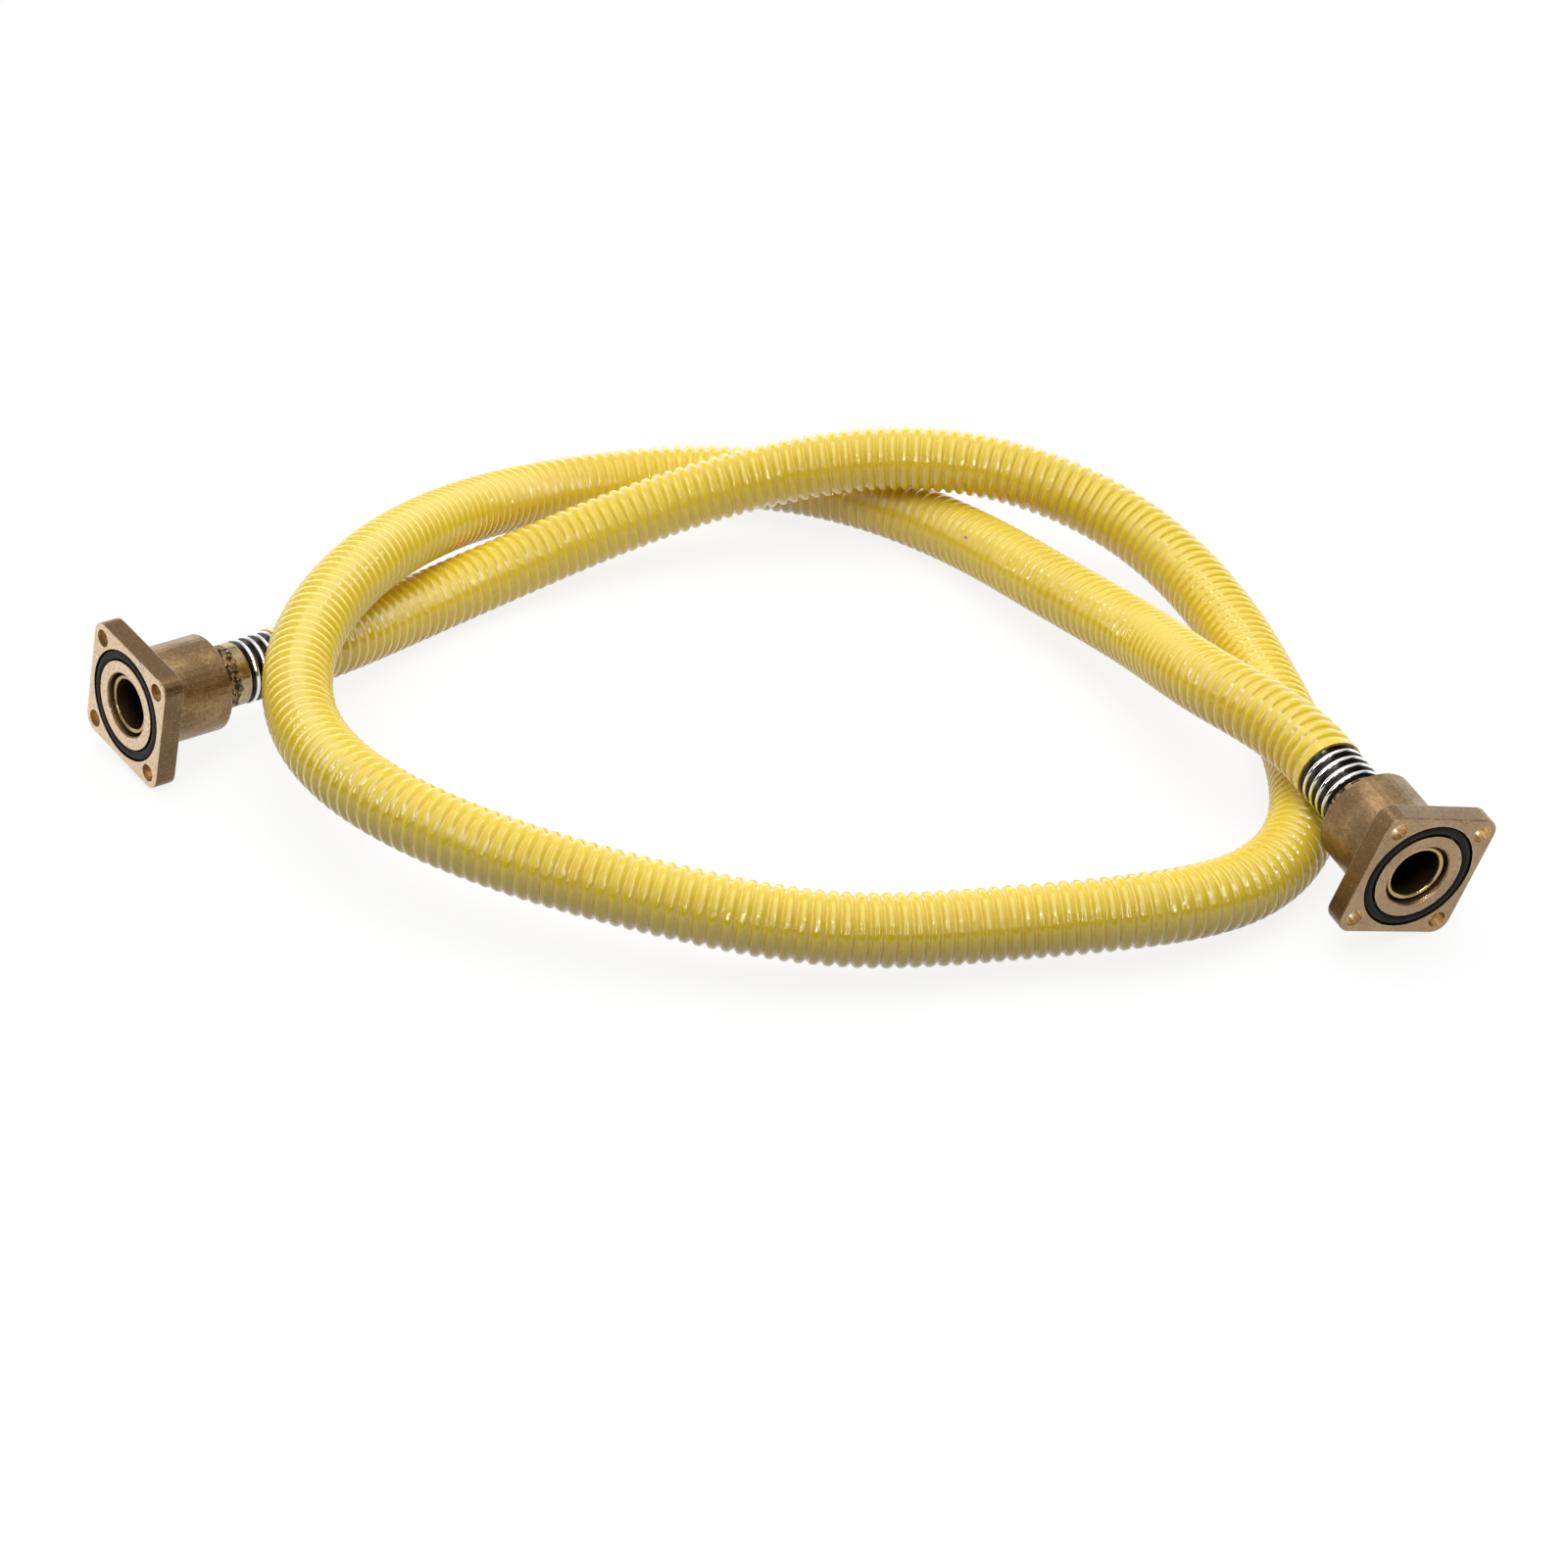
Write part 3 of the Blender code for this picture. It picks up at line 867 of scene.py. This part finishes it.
def ferrule_mesh(side):
    """A brass sleeve with a rounded rear edge and a rough fillet of braze against the hub."""
    inner_end = -HUB_END + SOCKET_DEPTH - GAP
    rear_end = -FERRULE_END + STEEL_REACH[side]
    outline = [(FERRULE_BORE, inner_end), (FERRULE_RADIUS, inner_end), (FERRULE_RADIUS, -HUB_END + 0.1 * MM)]
    height = -HUB_END - 0.1 * MM
    while height > rear_end + 1.0 * MM:
        behind = -HUB_END - height
        fillet = FILLET_RISE * math.exp(-behind / FILLET_LENGTH)
        braze = BRAZE_RISE / (1 + math.exp((behind - BRAZE_LENGTH) / BRAZE_EDGE))
        outline.append((FERRULE_RADIUS + (fillet + braze), height))
        height -= 0.2 * MM
    for step in range(7):
        angle = math.pi / 2 * step / 6
        drop = FERRULE_ROUNDING * (1 - math.cos(angle))
        rise = FERRULE_ROUNDING * (1 - math.sin(angle))
        outline.append((FERRULE_RADIUS - drop, rear_end + rise))
    outline.append((FERRULE_BORE, rear_end))
    mesh = turned("ferrule", outline, steps=120, sharp_degrees=50)
    for vertex in mesh.vertices:
        behind = -HUB_END - vertex.co.z
        radius = vertex.co.xy.length
        if 0.0 < behind < LUMPS_END and radius > FERRULE_BORE + 1 * MM:
            share = min(1.0, behind / LUMPS_START) / (1 + math.exp((behind - LUMPS_LENGTH) / LUMPS_EDGE))
            rough = sum(noise.noise(vertex.co * scale) * rise for scale, rise in LUMPS)
            vertex.co.xy *= 1 + share * rough / radius
    return mesh


def seal_mesh():
    """The rubber ring, a little flattened by its groove."""
    outline = []
    for step in range(SEAL_SAMPLES):
        angle = 2 * math.pi * step / SEAL_SAMPLES
        across = math.cos(angle)
        outline.append((
            SEAL_RADIUS + SEAL_HALF_WIDTH * math.copysign(abs(across) ** SEAL_FLATNESS, across),
            -SEAL_MIDDLE_DEPTH + SEAL_HALF_HEIGHT * math.sin(angle),
        ))
    return turned("seal", outline, steps=128, sharp_degrees=80)


# Operators.


class HOSE_OT_stage(bpy.types.Operator):
    """Add the camera, the floor, the world and the lights"""

    bl_idname = "hose.stage"
    bl_label = "Stage"

    def execute(self, context):
        scene = context.scene
        settings = scene.hose_studio
        angle = settings.camera_elevation
        arm = Vector((0.0, -math.cos(angle), math.sin(angle)))
        data = bpy.data.cameras.new("camera")
        data.lens = settings.lens
        data.sensor_width = 36.0
        data.clip_start = 0.01
        camera = bpy.data.objects.new("camera", data)
        camera.location = Vector(CAMERA_TARGET) + arm * settings.camera_distance
        camera.rotation_euler = (-arm).to_track_quat("-Z", "Y").to_euler()
        scene.collection.objects.link(camera)
        scene.camera = camera
        self.add_floor()
        self.add_world(scene)
        self.add_light("ceiling", *CEILING, settings.ceiling_power)
        self.add_light("long_box", *LONG_BOX, settings.box_power)
        for name, place in STRIP_PLACES.items():
            strip = self.add_light(name, place, *STRIP_FACING, settings.strip_power)
            strip.visible_diffuse = False
        scene.view_settings.view_transform = "Standard"
        return {"FINISHED"}

    def add_floor(self):
        """A floor that is white to the eye and in reflections, and lights the hose as a grey one would,
        darker in front and paler behind: painted light standing for the sweep lighting the floor behind.
        """
        bpy.ops.mesh.primitive_plane_add(size=FLOOR_SIDE, location=(0.0, 0.0, -FLOOR_DROP))
        floor = bpy.context.object
        floor.name = "floor"
        mat, tree, shader = new_material("floor_white", 0.0, Roughness=0.9, Specular_IOR_Level=0.0)
        put(tree, WHITE, shader.inputs["Base Color"])
        glow = tree.nodes.new("ShaderNodeEmission")
        glow.inputs["Strength"].default_value = 1.0
        white = mix_shader(tree, FLOOR_GLOW, shader.outputs[0], glow.outputs[0])
        grey = tree.nodes.new("ShaderNodeBsdfDiffuse")
        # Painted light: the bounce colour grows paler towards the back, standing for the sweep's light on the
        # floor.
        behind = smooth_step(tree, parts_of(tree, object_point(tree))["Y"], -0.2, 0.25)
        join(tree, mix_color(tree, behind, FLOOR_NEAR_PAINTED_SHADE, FLOOR_FAR_PAINTED_LIGHT), grey.inputs["Color"])
        path = tree.nodes.new("ShaderNodeLightPath")
        seen = math_node(tree, "MAXIMUM", path.outputs["Is Camera Ray"], path.outputs["Is Glossy Ray"])
        seen = math_node(tree, "MAXIMUM", seen, path.outputs["Is Transmission Ray"])
        surface = mix_shader(tree, seen, grey.outputs[0], white)
        join(tree, surface, tree.nodes["Material Output"].inputs["Surface"])
        floor.data.materials.append(mat)

    def add_world(self, scene):
        """A dark room in front and a white sweep behind, up to about 30 degrees above the floor."""
        world = bpy.data.worlds.new("studio")
        world.use_nodes = True
        tree = world.node_tree
        direction = parts_of(tree, tree.nodes.new("ShaderNodeTexCoord").outputs["Generated"])
        behind = smooth_step(tree, direction["Y"], -0.25, 0.25)
        low = minus(tree, 1.0, smooth_step(tree, direction["Z"], 0.35, 0.65))
        sweep = times(tree, times(tree, behind, low), scene.hose_studio.sweep)
        background = tree.nodes["Background"]
        put(tree, WHITE, background.inputs["Color"])
        join(tree, plus(tree, sweep, scene.hose_studio.fill), background.inputs["Strength"])
        scene.world = world

    def add_light(self, name, location, target, size, power):
        data = bpy.data.lights.new(name, "AREA")
        data.shape = "RECTANGLE"
        data.size, data.size_y = size
        data.energy = power
        obj = bpy.data.objects.new(name, data)
        obj.location = location
        direction = Vector(target) - Vector(location)
        obj.rotation_euler = direction.to_track_quat("-Z", "Y").to_euler()
        bpy.context.scene.collection.objects.link(obj)
        return obj


class HOSE_OT_cover(bpy.types.Operator):
    """Lay the ridged plastic cover along the hose's route"""

    bl_idname = "hose.cover"
    bl_label = "Ridged cover"

    def execute(self, context):
        settings = context.scene.hose
        line = centre_line()
        mesh, length = ridged_cover_mesh(settings, line)
        cover = show("ridged_cover", mesh, [cover_material(settings)])
        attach(cover, "root")
        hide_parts("hose_cover")
        carried = [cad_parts["outlet_flange"]]
        carried += [bpy.data.objects[f"outlet_{part}_finish"] for part in ("ferrule", "o_ring", "hose_end")]
        return {"FINISHED"}


class HOSE_OT_flanges(bpy.types.Operator):
    """Give the two flange castings their bronze finish"""

    bl_idname = "hose.flanges"
    bl_label = "Flange castings"

    def execute(self, context):
        for side in FITTINGS:
            centre = bpy.data.objects.new(f"{side}_centre", None)
            centre.matrix_world = fitting_matrix(side)
            context.scene.collection.objects.link(centre)
            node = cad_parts[f"{side}_flange"]
            node.data.materials.clear()
            bronze = bronze_material(f"{side}_bronze", context.scene.hose_fittings, centre, FACE_PAINTED_LIGHT[side])
            node.data.materials.append(bronze)
        return {"FINISHED"}


class HOSE_OT_ends(bpy.types.Operator):
    """Make the seals, brazed ferrules and bare steel ends of both fittings"""

    bl_idname = "hose.ends"
    bl_label = "Seals, ferrules and bare ends"

    def execute(self, context):
        hose = context.scene.hose
        rubber = rubber_material()
        brass = ferrule_material(context.scene.hose_fittings)
        steel = steel_material(hose)
        for side in FITTINGS:
            pieces = (
                ("o_ring", "black_rubber", seal_mesh(), rubber),
                ("ferrule", "brass", ferrule_mesh(side), brass),
                ("hose_end", "steel", steel_end_mesh(hose, side), steel),
            )
            for part, slot, mesh, mat in pieces:
                piece = show(f"{side}_{part}_finish", mesh, [mat], fitting_matrix(side))
                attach(piece, "root")
                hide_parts(f"{side}_{part}")
        return {"FINISHED"}


class HOSE_PT_panel(bpy.types.Panel):
    """The steps of the hose, in the sidebar"""

    bl_label = "Corrugated hose"
    bl_idname = "HOSE_PT_panel"
    bl_space_type = "VIEW_3D"
    bl_region_type = "UI"
    bl_category = "Hose"

    def draw(self, context):
        for settings in (context.scene.hose, context.scene.hose_fittings, context.scene.hose_studio):
            for name in settings.__annotations__:
                self.layout.prop(settings, name)
        for operator in STEPS:
            self.layout.operator(operator.bl_idname)


STEPS = (HOSE_OT_stage, HOSE_OT_flanges, HOSE_OT_ends, HOSE_OT_cover)
GROUPS = {"hose": HoseSettings, "hose_fittings": FittingSettings, "hose_studio": StudioSettings}


def register():
    for name, group in GROUPS.items():
        bpy.utils.register_class(group)
        setattr(bpy.types.Scene, name, bpy.props.PointerProperty(type=group))
    for cls in (*STEPS, HOSE_PT_panel):
        bpy.utils.register_class(cls)


def unregister():
    for cls in (HOSE_PT_panel, *reversed(STEPS)):
        bpy.utils.unregister_class(cls)
    for name, group in GROUPS.items():
        delattr(bpy.types.Scene, name)
        bpy.utils.unregister_class(group)


def main():
    register()
    bpy.ops.hose.stage()
    bpy.ops.hose.flanges()
    bpy.ops.hose.ends()
    bpy.ops.hose.cover()


if __name__ == "__main__":
    main()
